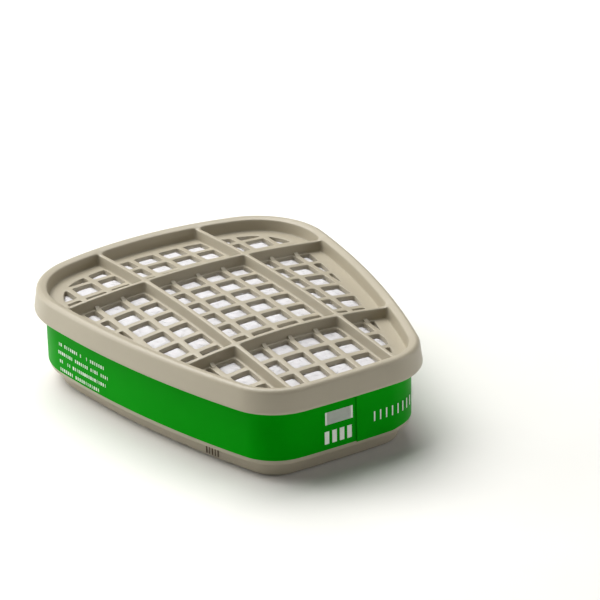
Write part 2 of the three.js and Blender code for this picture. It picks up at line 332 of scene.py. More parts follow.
def tidy_normals(made, sharp_degrees=40):
    """Turns every face outwards and keeps creases sharp where faces meet at a steep angle."""
    editor = bmesh.new()
    editor.from_mesh(made.data)
    bmesh.ops.recalc_face_normals(editor, faces=editor.faces)
    for face in editor.faces:
        face.smooth = True
    for edge in editor.edges:
        edge.smooth = edge.calc_face_angle(0) < math.radians(sharp_degrees)
    editor.to_mesh(made.data)
    editor.free()


def raised(points, height):
    return [(p[0], p[1], height) for p in points]


def circle(radius, steps=96):
    angles = [2 * math.pi * step / steps for step in range(steps)]
    return [(radius * math.cos(a), radius * math.sin(a)) for a in angles]


def moulded_plastic(name, colour):
    """Fine spark texture, faint cloudiness from the melt, and a slightly uneven satin sheen."""
    finish = Finish(name, Specular_IOR_Level=0.5)
    where = finish.place()
    cloud = finish.noise(where, 55.0, 3.0)
    speck = finish.noise(where, 2600.0, 2.0)
    darker = tuple(0.93 * c for c in colour) + (1,)
    lighter = tuple(min(1, 1.05 * c) for c in colour) + (1,)
    finish.feed("Base Color", finish.blend(cloud * 0.7 + speck * 0.3, darker, lighter))
    finish.feed("Roughness", 0.34 + 0.12 * finish.noise(where, 420.0))
    finish.feed("Normal", finish.bump(speck, 0.22, 0.00006))
    return finish.material


greige = (0.405, 0.362, 0.272)
base_inset, base_cavity_inset, base_height = 6.1, 7.9, 4.4
wall_inset, cavity_inset, wall_top = 3.18, 4.9, 20.3
back_thickness, shelf_top, socket_hole = 1.8, 6.2, 22.3
body_section = (
    (base_inset + 0.9, 0), (base_inset + 0.45, 0.07), (base_inset + 0.15, 0.3), (base_inset, 0.8),
    (base_inset - 0.12, base_height - 0.7), (base_inset - 0.25, base_height - 0.2),
    (base_inset - 0.6, base_height), (wall_inset + 0.5, base_height + 0.02),
    (wall_inset + 0.15, base_height + 0.15), (wall_inset, base_height + 0.5),
    (wall_inset - 0.02, wall_top - 0.5), (wall_inset + 0.2, wall_top),
    (cavity_inset - 0.2, wall_top), (cavity_inset, wall_top - 0.4), (cavity_inset, shelf_top),
    (base_cavity_inset, shelf_top), (base_cavity_inset, back_thickness))

body = Skin()
body_loops = [body.loop(raised(outline(inset), z)) for inset, z in body_section]
body.bands(body_loops)
hole_loops = [body.loop(raised(circle(socket_hole), z)) for z in (0, back_thickness)]
body.band(hole_loops[0], hole_loops[1])
body.fill(body_loops[0], [hole_loops[0]], lambda p: 0, 4)
body.fill(body_loops[-1], [hole_loops[1]], lambda p: back_thickness, 4)
body_plastic = moulded_plastic("body_plastic", greige)
body_piece = body.piece("body_moulding", body_plastic)
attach(body_piece, "root")
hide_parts("body_shell")


# ---- The cover: one greige polypropylene moulding, pressed over the body's wall, with a flared skirt, a
# flat rim, four crossing ribs and a domed grille of square holes. Its top is made as nine pockets between
# the ribs, each with its own perforated floor.
pitch, hole_size, hole_corner, hole_edge = 7.5, 6.0, 0.6, 0.13
plate_top, plate_thickness = 22.0, 1.4
rib_top, rim_top, crown = 24.8, 25.8, 2.9
crown_inset, grille_inset, pocket_inset = 4.2, 7.6, 3.45
rib_half, wall_foot = 0.56, 0.52
long_rib_x, cross_rib_y = 2 * pitch, 3 * pitch
pocket_corner = 0.85
smallest_hole, narrowest_hole = 1.5, 0.42
rib_edge, rim_edge = 0.26, 0.42
skirt_bottom = 19.5
rib_end, rib_full = 2.9, 4.3
hole_columns, hole_rows = 6, 7


def dome(x, y):
    """The grille's bulge, 1 in the middle and 0 from the crown line outwards."""
    half = side_centre.x + math.sqrt(side_radius ** 2 - (y - side_apex_y) ** 2) - crown_inset
    across = max(0, 1 - (x / half) ** 2)
    along = max(0, 1 - (y / (length / 2 - crown_inset)) ** 2)
    return across * along


def smooth_step(low, high, value):
    t = min(1, max(0, (value - low) / (high - low)))
    return t * t * (3 - 2 * t)


def plate_height(p):
    return plate_top + crown * dome(p[0], p[1])


def underside_height(p):
    return plate_height(p) - plate_thickness


def crest_height(p):
    """The top of the rim, and of the ribs that come up to it from just below."""
    over_ribs = smooth_step(rib_end, rib_full, inset_of(p))
    ribs = rib_top + crown * dome(p[0], p[1])
    return rim_top + (ribs - rim_top) * over_ribs


def clipped(polygon, normal, limit):
    """The part of a convex polygon where normal . point <= limit."""
    kept = []
    for i, a in enumerate(polygon):
        b = polygon[(i + 1) % len(polygon)]
        da = normal.dot(a) - limit
        db = normal.dot(b) - limit
        if da <= 0:
            kept.append(a)
        if da * db < 0:
            kept.append(a + (b - a) * (da / (da - db)))
    return kept


def clipped_to(polygon, border):
    """The part of a convex polygon that lies inside a convex border."""
    for a, b in zip(border, border[1:] + border[:1]):
        outward = Vector((b.y - a.y, a.x - b.x)).normalized()
        polygon = clipped(polygon, outward, outward.dot(a))
    return polygon


def rounded(polygon, radius, spacing):
    """A convex polygon with its corners rounded, with most of its points where it turns."""
    grain, most_turn = 0.15, math.radians(17)
    fine = evenly_spaced(polygon, grain)
    for _ in range(round(1.1 * (radius / grain) ** 2)):
        fine = eased(fine, 0.25)
    kept = []
    turned, passed = 0.0, spacing
    for before, here, after in zip(fine[-1:] + fine, fine, fine[1:] + fine[:1]):
        turned += abs((here - before).angle_signed(after - here))
        passed += (here - before).length
        if turned > most_turn or passed >= spacing:
            kept.append(here)
            turned, passed = 0.0, 0.0
    return kept


def eased(points, share):
    """Each point drawn a share of the way towards both of its neighbours."""
    return [here * (1 - 2 * share) + (before + after) * share
            for before, here, after in zip(points[-1:] + points, points, points[1:] + points[:1])]


def evenly_spaced(points, spacing):
    count = len(points)
    gaps = [(points[(i + 1) % count] - points[i]).length for i in range(count)]
    total = sum(gaps)
    wanted = max(12, round(total / spacing))
    made = []
    index, passed = 0, 0.0
    for step in range(wanted):
        goal = total * step / wanted
        while passed + gaps[index] < goal:
            passed += gaps[index]
            index += 1
        t = (goal - passed) / gaps[index] if gaps[index] else 0
        made.append(points[index].lerp(points[(index + 1) % count], t))
    return made


def inward_normals(points):
    normals = []
    for before, here, after in zip(points[-1:] + points, points, points[1:] + points[:1]):
        along = (here - before).normalized() + (after - here).normalized()
        normals.append(Vector((-along.y, along.x)).normalized())
    return normals


def drawn_in(points, distance):
    """A convex loop moved inwards in small steps that never let its corners fold."""
    longest_step = 0.06
    steps = max(1, math.ceil(distance / longest_step))
    for _ in range(steps):
        moved = [p + n * (distance / steps) for p, n in zip(points, inward_normals(points))]
        points = eased(moved, 0.12)
    return points


def perimeter(polygon):
    return sum((b - a).length for a, b in zip(polygon, polygon[1:] + polygon[:1]))


def area_of(polygon):
    return 0.5 * sum(a.cross(b) for a, b in zip(polygon, polygon[1:] + polygon[:1]))


def pocket_polygon(column, row, margin):
    """The plan of one pocket between ribs and rim, moved inwards by a margin."""
    polygon = outline(pocket_inset + margin)
    half = rib_half + margin
    for way, edge in ((Vector((1, 0)), long_rib_x), (Vector((0, 1)), cross_rib_y)):
        cell = column if way.x else row
        if cell <= 0:
            polygon = clipped(polygon, way, (edge if cell == 0 else -edge) - half)
        if cell >= 0:
            polygon = clipped(polygon, -way, (edge if cell == 0 else -edge) - half)
    return polygon


def hole_polygons(floor):
    """The square holes of the grille that lie over one pocket's floor, trimmed by its edges."""
    holes = []
    for column in range(-hole_columns, hole_columns):
        for row in range(-hole_rows, hole_rows):
            middle = Vector(((column + 0.5) * pitch, (row + 0.5) * pitch))
            square = [middle + Vector(corner) * hole_size / 2 for corner in square_corners]
            square = clipped_to(clipped_to(square, floor), outline(grille_inset))
            if len(square) > 2 and area_of(square) > smallest_hole:
                if 2 * area_of(square) / perimeter(square) > narrowest_hole:
                    holes.append(square)
    return holes


def hole_wall(skin, line, stations):
    """Loops round a hole's line, each moved out by a distance and set at a height."""
    normals = inward_normals(line)
    rings = [skin.loop([(p.x + n.x * out, p.y + n.y * out, z) for p, n in zip(line, normals)])
             for out, z in stations]
    skin.bands(rings)
    return rings


def quarter_round(steps):
    """Shares of an edge radius: how far out and how far down each point of a rounded edge lies."""
    angles = [math.pi / 2 * step / steps for step in range(steps + 1)]
    return [(1 - math.sin(a), 1 - math.cos(a)) for a in angles]


cover = Skin()
cover_section = (
    (2.3, plate_top - plate_thickness), (2.3, skirt_bottom + 0.25), (2.1, skirt_bottom),
    (0.6, skirt_bottom), (0.22, skirt_bottom + 0.12), (0.03, skirt_bottom + 0.42),
    (0, skirt_bottom + 0.75), (0.06, skirt_bottom + 1.2), (0.3, rim_top - 3.6),
    (0.62, rim_top - 1.2), (0.72, rim_top - 0.8), (0.92, rim_top - 0.42), (1.24, rim_top - 0.14),
    (1.6, rim_top - 0.02), (1.9, rim_top))
cover_loops = [cover.loop(raised(outline(inset), z)) for inset, z in cover_section]
cover.bands(cover_loops)

# Each pocket's wall leans in a little and ends in a small fillet on the floor.
wall_profile = ((0.1, 1.4), (0.2, 0.45), (0.24, 0.25), (0.31, 0.1), (0.4, 0.02), (wall_foot, 0))
pocket_tops = []
underside_holes = []
for column in (-1, 0, 1):
    for row in (-1, 0, 1):
        plan = rounded(pocket_polygon(column, row, 0), pocket_corner, 0.9)
        inward = inward_normals(plan)
        rings = []
        for out, down in quarter_round(3):
            ring = []
            for p, n in zip(plan, inward):
                rim_share = 1 - smooth_step(pocket_inset + 0.1, pocket_inset + 1.3, inset_of(p))
                edge = rib_edge + (rim_edge - rib_edge) * rim_share
                q = p - n * edge * out
                ring.append((q.x, q.y, crest_height(p) - edge * down))
            rings.append(cover.loop(ring))
        line, reached = plan, 0
        for out, up in wall_profile:
            line = drawn_in(line, out - reached)
            reached = out
            rings.append(cover.loop([(p.x, p.y, plate_height(p) + up) for p in line]))
        cover.bands(rings)
        pocket_tops.append(rings[0])
        floor_holes = []
        floor = pocket_polygon(column, row, wall_foot + hole_edge + 0.1)
        for square in hole_polygons(rounded(floor, pocket_corner, 1)):
            edge_line = rounded(square, hole_corner, 1.5)
            normals = inward_normals(edge_line)
            stations = [(-hole_edge * out, -hole_edge * down) for out, down in quarter_round(3)]
            stations += [(0.06, 0.12 - plate_thickness), (0, -plate_thickness)]
            hole_rings = []
            for out, down in stations:
                moved = [p + n * out for p, n in zip(edge_line, normals)]
                hole_rings.append(cover.loop([(q.x, q.y, plate_height(q) + down) for q in moved]))
            cover.bands(hole_rings)
            floor_holes.append(hole_rings[0])
            underside_holes.append(hole_rings[-1])
        cover.fill(rings[-1], floor_holes, plate_height, 1.6)
cover.fill(cover_loops[-1], pocket_tops, crest_height, 1.2)
cover.fill(cover_loops[0], underside_holes, underside_height, 3)
cover_plastic = moulded_plastic("cover_plastic", greige)
cover_piece = cover.piece("cover_moulding", cover_plastic)
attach(cover_piece, "root")
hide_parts("inlet_cover")


# ---- Gussets: small wedges of the same moulding that stiffen each grille bar where it meets the near
# side of a cross rib. They follow the bars' pitch.
class Recipe:
    """A node tree with named sizes that grows a repeated part on a base mesh."""

    def __init__(self, name, **sizes):
        self.tree = bpy.data.node_groups.new(name, "GeometryNodeTree")
        sockets = self.tree.interface
        sockets.new_socket("Geometry", in_out="OUTPUT", socket_type="NodeSocketGeometry")
        sockets.new_socket("Geometry", in_out="INPUT", socket_type="NodeSocketGeometry")
        for label, value in sizes.items():
            kind = "NodeSocketInt" if isinstance(value, int) else "NodeSocketFloat"
            made = sockets.new_socket(label.replace("_", " "), in_out="INPUT", socket_type=kind)
            made.default_value = value
        self.given = self.tree.nodes.new("NodeGroupInput")
        self.result = self.tree.nodes.new("NodeGroupOutput")

    def size(self, label):
        return Wire(self, self.given.outputs[label])

    node = Finish.node

    def vector(self, x, y, z):
        return self.node("ShaderNodeCombineXYZ", {}, {0: x, 1: y, 2: z})

    def close(self, geometry, material):
        plain = self.node("GeometryNodeRealizeInstances", {}, {0: geometry})
        finished = self.node("GeometryNodeSetMaterial", {}, {"Geometry": plain, "Material": material})
        self.tree.links.new(finished.socket, self.result.inputs[0])

    def grow(self, name, base, **sizes):
        """A plain mesh object grown on the base mesh, whose sizes may differ from the tree's own."""
        seed_object = bpy.data.objects.new(name + "_base", base)
        bpy.context.scene.collection.objects.link(seed_object)
        modifier = seed_object.modifiers.new(name, "NODES")
        modifier.node_group = self.tree
        for item in self.tree.interface.items_tree:
            if item.in_out == "INPUT" and item.name.replace(" ", "_") in sizes:
                modifier[item.identifier] = sizes[item.name.replace(" ", "_")]
        depsgraph = bpy.context.evaluated_depsgraph_get()
        grown = bpy.data.meshes.new_from_object(seed_object.evaluated_get(depsgraph))
        bpy.data.objects.remove(seed_object)
        grown.name = name
        made = bpy.data.objects.new(name, grown)
        bpy.context.scene.collection.objects.link(made)
        return made


def seed_mesh(name, points, edges=(), faces=()):
    """A base mesh whose points are given in millimetres."""
    mesh = bpy.data.meshes.new(name)
    mesh.from_pydata([tuple(0.001 * c for c in p) for p in points], edges, faces)
    return mesh


gusset_sink, gusset_margin, gussets_each_way = 0.1, 0.6, 4
gusset_spots = []
for rib_y in (-cross_rib_y, cross_rib_y):
    for column in range(-gussets_each_way, gussets_each_way + 1):
        spot = Vector((column * pitch, rib_y - rib_half - gusset_sink))
        if abs(spot.x) != long_rib_x and inset_of(spot) > grille_inset + gusset_margin:
            gusset_spots.append((spot.x, spot.y, plate_height(spot) - gusset_sink))

gussets = Recipe("bar_gussets", Width=0.0011, Reach=0.0015, Height=0.0009)
wedge = gussets.node("GeometryNodeMeshCube", {}, {
    "Size": gussets.vector(gussets.size("Width"), gussets.size("Reach"), gussets.size("Height"))})
corner_place = gussets.node("GeometryNodeInputPosition", {}, {})
corner_y = gussets.node("ShaderNodeSeparateXYZ", {}, {0: corner_place}, 1)
is_tip = gussets.node("FunctionNodeCompare", {"operation": "LESS_THAN"}, {0: corner_y, 1: 0.0})
corner_z = gussets.node("ShaderNodeSeparateXYZ", {}, {0: corner_place}, 2)
is_high = gussets.node("FunctionNodeCompare", {"operation": "GREATER_THAN"}, {0: corner_z, 1: 0.0})
both = gussets.node("FunctionNodeBooleanMath", {"operation": "AND"}, {0: is_tip, 1: is_high})
wedge = gussets.node("GeometryNodeSetPosition", {}, {
    "Geometry": wedge, "Selection": both,
    "Offset": gussets.vector(0.0, 0.0, gussets.size("Height") * -0.9)})
wedge = gussets.node("GeometryNodeSetPosition", {}, {
    "Geometry": wedge,
    "Offset": gussets.vector(0.0, gussets.size("Reach") * -0.5, gussets.size("Height") * 0.5)})
spots = gussets.node("GeometryNodeInstanceOnPoints", {}, {
    "Points": Wire(gussets, gussets.given.outputs["Geometry"]), "Instance": wedge})
gussets.close(spots, cover_plastic)
gusset_piece = gussets.grow("bar_gussets", seed_mesh("gusset_spots", gusset_spots))
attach(gusset_piece, "root")


# ---- The inlet pad: a white needled nonwoven layer that holds the granules back. The grille presses on
# it, so that it puffs up a little in each hole, and loose fibres lie on it.
pad_inset, pad_thickness, pad_clearance, pad_swell = 6.75, 1.6, 0.06, 0.85


def hole_depth(x, y):
    """How far a spot lies inside a hole of the grille, at most half the hole."""
    across = hole_size / 2 - abs(x % pitch - pitch / 2)
    along = hole_size / 2 - abs(y % pitch - pitch / 2)
    beside_long_ribs = abs(abs(x) - long_rib_x) - rib_half - wall_foot
    beside_cross_ribs = abs(abs(y) - cross_rib_y) - rib_half - wall_foot
    from_margin = inset_of((x, y)) - grille_inset
    return min(across, along, beside_long_ribs, beside_cross_ribs, from_margin)


def pad_surface(p):
    puff = smooth_step(0, 1.4, hole_depth(p[0], p[1]))
    return underside_height(p) - pad_clearance + pad_swell * puff


def pad_underside(p):
    return underside_height(p) - pad_clearance - pad_thickness


pad = Skin()
pad_edge = 0.3
pad_loops = [
    pad.loop([(p.x, p.y, pad_underside(p) + pad_thickness * share) for p in outline(pad_inset + inset)])
    for inset, share in ((pad_edge, 0), (0, 0.15), (0, 0.85), (pad_edge, 1))]
pad.bands(pad_loops)
pad.fill(pad_loops[-1], [], pad_surface, 0.62)
pad.fill(pad_loops[0], [], pad_underside, 3)


def nonwoven(name, light, shade):
    finish = Finish(name, Roughness=0.95, Specular_IOR_Level=0.1, Sheen_Weight=0.25, Sheen_Roughness=0.6)
    where = finish.place()
    stretched = finish.node("ShaderNodeMapping", {}, {"Vector": where, "Scale": (1, 2.6, 1)})
    crossed = finish.node("ShaderNodeMapping", {}, {"Vector": where, "Scale": (2.4, 1, 1)})
    fibres = finish.noise(stretched, 2100.0, 4.0, 0.7) * 0.5 + finish.noise(crossed, 1700.0, 4.0, 0.7) * 0.5
    clumps = finish.noise(where, 330.0, 3.0, 0.6)
    finish.feed("Base Color", finish.blend(clumps * 0.55 + fibres * 0.45, shade + (1,), light + (1,)))
    soft = finish.bump(clumps, 0.35, 0.0003)
    finish.feed("Normal", finish.bump(fibres, 0.4, 0.00012, soft))
    return finish.material


inlet_fleece = nonwoven("inlet_fleece", (0.77, 0.755, 0.76), (0.54, 0.53, 0.54))
pad_piece = pad.piece("inlet_fleece_pad", inlet_fleece)
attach(pad_piece, "root")
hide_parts("inlet_pad")

fuzz = Recipe("loose_fibres", Density=900000.0, Length=0.0022, Thickness=0.000022, Seed=7)
spots = fuzz.node("GeometryNodeDistributePointsOnFaces", {}, {
    "Mesh": Wire(fuzz, fuzz.given.outputs["Geometry"]),
    "Density": fuzz.size("Density"), "Seed": fuzz.size("Seed")})
strand = fuzz.node("GeometryNodeCurveQuadraticBezier", {}, {
    "Resolution": 4, "Start": fuzz.vector(fuzz.size("Length") * -0.5, 0.0, 0.0),
    "Middle": fuzz.vector(0.0, fuzz.size("Length") * 0.35, fuzz.size("Length") * 0.06),
    "End": fuzz.vector(fuzz.size("Length") * 0.5, 0.0, 0.0)})
section = fuzz.node("GeometryNodeCurvePrimitiveCircle", {}, {
    "Resolution": 3, "Radius": fuzz.size("Thickness")})
strand = fuzz.node("GeometryNodeCurveToMesh", {}, {
    "Curve": strand, "Profile Curve": section, "Fill Caps": True})
turn = fuzz.node("FunctionNodeRandomValue", {"data_type": "FLOAT_VECTOR"}, {
    0: (-0.12, -0.12, 0.0), 1: (0.12, 0.12, 2 * math.pi), "Seed": fuzz.size("Seed")})
stretch = fuzz.node("FunctionNodeRandomValue", {"data_type": "FLOAT"}, {
    2: 0.5, 3: 1.3, "Seed": fuzz.size("Seed")}, 1)
spread = fuzz.node("GeometryNodeInstanceOnPoints", {}, {
    "Points": spots, "Instance": strand, "Rotation": turn, "Scale": stretch})
fuzz.close(spread, inlet_fleece)
fuzz_lift, fuzz_inset = 0.05, grille_inset + 0.4


def fuzz_height(p):
    return pad_surface(p) + fuzz_lift


fuzz_base = Skin()
fuzz_rim = fuzz_base.loop([(p.x, p.y, fuzz_height(p)) for p in outline(fuzz_inset)])
fuzz_base.fill(fuzz_rim, [], fuzz_height, 1.2)
fuzz_piece = fuzz.grow("loose_fibres", seed_mesh("fleece_top", fuzz_base.points, (), fuzz_base.faces))
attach(fuzz_piece, "root")


# ---- The sorbent bed: loose activated carbon granules, poured in and levelled to the grille's dome. It is
# a dark block whose surface is made of the granules themselves.
content_inset, bed_floor, bed_gap = 5.2, 9.5, 0.35
core_margin, core_edge, core_low, core_high = 0.75, 0.4, 0.45, 0.5
core_inset, core_floor = content_inset + core_margin, bed_floor + core_low


def core_surface(p):
    return pad_underside(p) - bed_gap - core_high


bed = Skin()
bed_loops = [
    bed.loop(raised(outline(core_inset + core_edge), core_floor)),
    bed.loop(raised(outline(core_inset), core_floor + core_low)),
    bed.loop([(p.x, p.y, core_surface(p) - core_edge) for p in outline(core_inset)]),
    bed.loop([(p.x, p.y, core_surface(p)) for p in outline(core_inset + core_edge)])]
bed.bands(bed_loops)
bed.fill(bed_loops[-1], [], core_surface, 3)
bed.fill(bed_loops[0], [], lambda p: core_floor, 3)

carbon_finish = Finish("carbon_granules", Specular_IOR_Level=0.4)
carbon_place = carbon_finish.place()
carbon_cell = carbon_finish.noise(carbon_place, 900.0, 3.0)
carbon_finish.feed("Base Color", carbon_finish.blend(
    carbon_cell, (0.008, 0.008, 0.009, 1), (0.035, 0.034, 0.036, 1)))
carbon_finish.feed("Roughness", 0.55 + 0.35 * carbon_cell)
carbon_finish.feed("Normal", carbon_finish.bump(carbon_finish.noise(carbon_place, 2500.0), 0.5, 0.0001))

granules = Recipe("granules", Density=260000.0, Size=0.0006, Seed=11)
core = Wire(granules, granules.given.outputs["Geometry"])
spots = granules.node("GeometryNodeDistributePointsOnFaces", {}, {
    "Mesh": core, "Density": granules.size("Density"), "Seed": granules.size("Seed")})
grain = granules.node("GeometryNodeMeshIcoSphere", {}, {
    "Radius": granules.size("Size"), "Subdivisions": 1})
turn = granules.node("FunctionNodeRandomValue", {"data_type": "FLOAT_VECTOR"}, {
    0: (0.0, 0.0, 0.0), 1: (6.0, 6.0, 6.0), "Seed": granules.size("Seed")})
swell = granules.node("FunctionNodeRandomValue", {"data_type": "FLOAT_VECTOR"}, {
    0: (0.5, 0.5, 0.4), 1: (0.85, 0.85, 0.75), "Seed": granules.size("Seed") + 1})
spread = granules.node("GeometryNodeInstanceOnPoints", {}, {
    "Points": spots, "Instance": grain, "Rotation": turn, "Scale": swell})
joined = granules.tree.nodes.new("GeometryNodeJoinGeometry")
granules.tree.links.new(core.socket, joined.inputs[0])
granules.tree.links.new(spread.socket, joined.inputs[0])
granules.close(Wire(granules, joined.outputs[0]), carbon_finish.material)
bed_piece = granules.grow("carbon_bed", seed_mesh("bed_core", bed.points, (), bed.faces))
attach(bed_piece, "root")
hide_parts("sorbent_bed")


# ---- The outlet filter and the support grid under the bed: a thin fleece that keeps dust out of the
# socket, on a slotted polypropylene plate that rests on the body's shelf and fins.
filter_bottom, filter_thickness = 8.2, 1.0
outlet_filter = Skin()
filter_loops = [outlet_filter.loop(raised(outline(content_inset + inset), filter_bottom + up))
                for inset, up in ((0.25, 0), (0, 0.2), (0, 0.8), (0.25, filter_thickness))]
outlet_filter.bands(filter_loops)
outlet_filter.fill(filter_loops[0], [], lambda p: filter_bottom, 2.5)
quilting = 0.06


def filter_surface(p):
    return filter_bottom + filter_thickness - quilting * (1 - math.cos(p.x * 2) * math.cos(p.y * 2))


outlet_filter.fill(filter_loops[-1], [], filter_surface, 1.3)
outlet_fleece = nonwoven("outlet_fleece", (0.9, 0.9, 0.88), (0.7, 0.7, 0.68))
filter_piece = outlet_filter.piece("outlet_fleece", outlet_fleece)
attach(filter_piece, "root")
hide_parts("outlet_filter")

grid_bottom, grid_thickness = 6.5, 1.4
slot_length, slot_width, slot_pitch_x, slot_pitch_y = 11, 3.2, 13.6, 5.2
slot_field = outline(content_inset + 3.5)
slots = []
for column in range(-3, 3):
    for row in range(-9, 9):
        middle = Vector(((column + 0.5) * slot_pitch_x, (row + 0.5) * slot_pitch_y))
        slot = [middle + Vector((x * slot_length / 2, y * slot_width / 2)) for x, y in square_corners]
        slot = clipped_to(slot, slot_field)
        if len(slot) > 2 and area_of(slot) > slot_width ** 2:
            slots.append(rounded(slot, 1.0, 1.6))

grid = Skin()
grid_rims = [grid.loop(raised(outline(content_inset + inset), grid_bottom + up))
             for inset, up in ((0.2, 0), (0, 0.2), (0, grid_thickness - 0.2), (0.2, grid_thickness))]
grid.bands(grid_rims)
grid_top = grid_bottom + grid_thickness
slot_edge = 0.15
slot_stations = (
    (-slot_edge, grid_bottom), (0, grid_bottom + slot_edge),
    (0, grid_top - slot_edge), (-slot_edge, grid_top))
slot_rings = [hole_wall(grid, slot, slot_stations) for slot in slots]
grid.fill(grid_rims[0], [rings[0] for rings in slot_rings], lambda p: grid_bottom, 4)
grid.fill(grid_rims[-1], [rings[-1] for rings in slot_rings], lambda p: grid_top, 4)
grid_piece = grid.piece("support_grid_plate", moulded_plastic("grid_plastic", (0.60, 0.59, 0.55)))
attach(grid_piece, "root")
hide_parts("support_grid")


# ---- The bayonet socket: a turned-looking insert moulded in the same polypropylene, let into the back. Its
# bore has three lugs with stops, and a spoked floor that the air leaves through.
bore_radius, ring_radius, flange_radius = 17.5, 22, 24
ring_height, ring_floor, flange_bottom, flange_top = 6.1, 5.1, 2.1, 3.3
lug_radius, lug_height, stop_radius, stop_height = 15.2, 1.6, 16.2, 3.6
lug_half_angle, stop_angle, lug_ease = math.radians(17), math.radians(5), math.radians(0.6)
lug_middle, lug_spread = math.pi / 2, 2 * math.pi / 3
turns = 360


def lug_reach(angle, bottom_radius, half, middle):
    """The bore's radius at an angle, drawn in where a lug or a stop stands."""
    away = abs((angle - middle + lug_spread / 2) % lug_spread - lug_spread / 2)
    share = 1 - smooth_step(half - lug_ease, half + lug_ease, away)
    return bore_radius + (bottom_radius - bore_radius) * share


def around(radius_at, height):
    points = []
    for step in range(turns):
        angle = 2 * math.pi * step / turns
        radius = radius_at(angle)
        points.append((radius * math.cos(angle), radius * math.sin(angle), height))
    return points


def stop_bore(angle):
    return lug_reach(angle, stop_radius, stop_angle / 2, lug_middle + lug_half_angle + stop_angle / 2)


def lug_bore(angle):
    return min(lug_reach(angle, lug_radius, lug_half_angle, lug_middle), stop_bore(angle))


def plain_bore(angle):
    return bore_radius


ring = Skin()
bore_loops = [ring.loop(around(radius_at, height)) for radius_at, height in (
    (lambda a: lug_bore(a) + 0.3, 0), (lambda a: lug_bore(a) + 0.08, 0.08), (lug_bore, 0.3),
    (lug_bore, lug_height - 0.2), (lambda a: lug_bore(a) + 0.15, lug_height),
    (stop_bore, lug_height + 0.02), (stop_bore, stop_height - 0.15),
    (lambda a: stop_bore(a) + 0.1, stop_height), (plain_bore, stop_height + 0.02),
    (plain_bore, ring_floor - 0.5), (lambda a: bore_radius - 0.15, ring_floor - 0.15),
    (lambda a: bore_radius - 0.5, ring_floor))]
ring.bands(bore_loops)
shell_loops = [ring.loop(around(lambda a, r=radius: r, height)) for radius, height in (
    (ring_radius - 0.35, 0), (ring_radius - 0.1, 0.1), (ring_radius, 0.35), (ring_radius, flange_bottom),
    (flange_radius - 0.2, flange_bottom), (flange_radius, flange_bottom + 0.2),
    (flange_radius, flange_top - 0.2), (flange_radius - 0.2, flange_top), (ring_radius + 0.3, flange_top),
    (ring_radius, flange_top + 0.3), (ring_radius, ring_height - 0.3), (ring_radius - 0.3, ring_height))]
ring.bands(shell_loops)
ring.band(bore_loops[0], shell_loops[0])
window_count, window_inner, window_outer, spoke_width, window_edge = 6, 5, 15, 2.2, 0.2
window_stations = (
    (-window_edge, ring_floor), (0, ring_floor + window_edge),
    (0, ring_height - window_edge), (-window_edge, ring_height))
windows = []
for window in range(window_count):
    middle_angle = 2 * math.pi * window / window_count
    corners = []
    for radius, way in ((window_outer, 1), (window_inner, -1)):
        half = math.pi / window_count - math.asin(spoke_width / 2 / radius)
        steps = 10 if radius == window_outer else 5
        for step in range(steps + 1):
            angle = middle_angle + way * half * (2 * step / steps - 1)
            corners.append(Vector((radius * math.cos(angle), radius * math.sin(angle))))
    windows.append(hole_wall(ring, evenly_spaced(corners, 0.9), window_stations))
ring.fill(bore_loops[-1], [rings[0] for rings in windows], lambda p: ring_floor, 2.5)
ring.fill(shell_loops[-1], [rings[-1] for rings in windows], lambda p: ring_height, 2.5)
ring_piece = ring.piece("bayonet_socket", moulded_plastic("socket_plastic", (0.37, 0.335, 0.27)))
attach(ring_piece, "root")
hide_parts("bayonet_ring")


# ---- The label: one band of green printed film round the wall, tucked up under the skirt. It starts on the
# narrow end, goes all the way round, and its end lies under its start.
label_inset, label_thickness = 2.83, 0.22
label_bottom, label_top = 5.8, 19.85
seam_x, seam_overlap, seam_lift, seam_drop = 2.7, 9, 0.24, 0.2


def along_outline(inset, start_x, length_wanted, spacing):
    """Points and outward normals along the outline, from a spot on the narrow end anticlockwise."""
    loop = outline(inset)
    dense = evenly_spaced(loop, 0.25)
    narrow_end = [i for i, p in enumerate(dense) if p.y < 0]
    first = min(narrow_end, key=lambda i: abs(dense[i].x - start_x))
    points, normals = [], []
    passed = 0.0
    wanted = 0.0
    index = first
    while passed < length_wanted:
        here, following = dense[index % len(dense)], dense[(index + 1) % len(dense)]
        if passed >= wanted:
            along = (following - dense[index % len(dense) - 1]).normalized()
            points.append(here)
            normals.append(Vector((along.y, -along.x)))
            wanted += spacing
        passed += (following - here).length
        index += 1
    return points, normals


girth = perimeter(outline(label_inset))
label_step = 0.75
label_points, label_normals = along_outline(label_inset, seam_x, girth + seam_overlap, label_step)
label = Skin()
strips = []
for i, (p, n) in enumerate(zip(label_points, label_normals)):
    raised_by = 1 - smooth_step(seam_overlap + 0.5, seam_overlap + 5, label_step * i)
    lift = seam_lift * raised_by
    bottom = label_bottom - seam_drop * raised_by
    outer, inner = p + n * lift, p + n * (lift - label_thickness)
    strips.append(label.loop([
        (outer.x, outer.y, bottom + 0.05), (outer.x, outer.y, label_top),
        (inner.x, inner.y, label_top), (inner.x, inner.y, bottom)]))
label.bands(strips)
label.faces.append(tuple(strips[0]))
label.faces.append(tuple(strips[-1]))

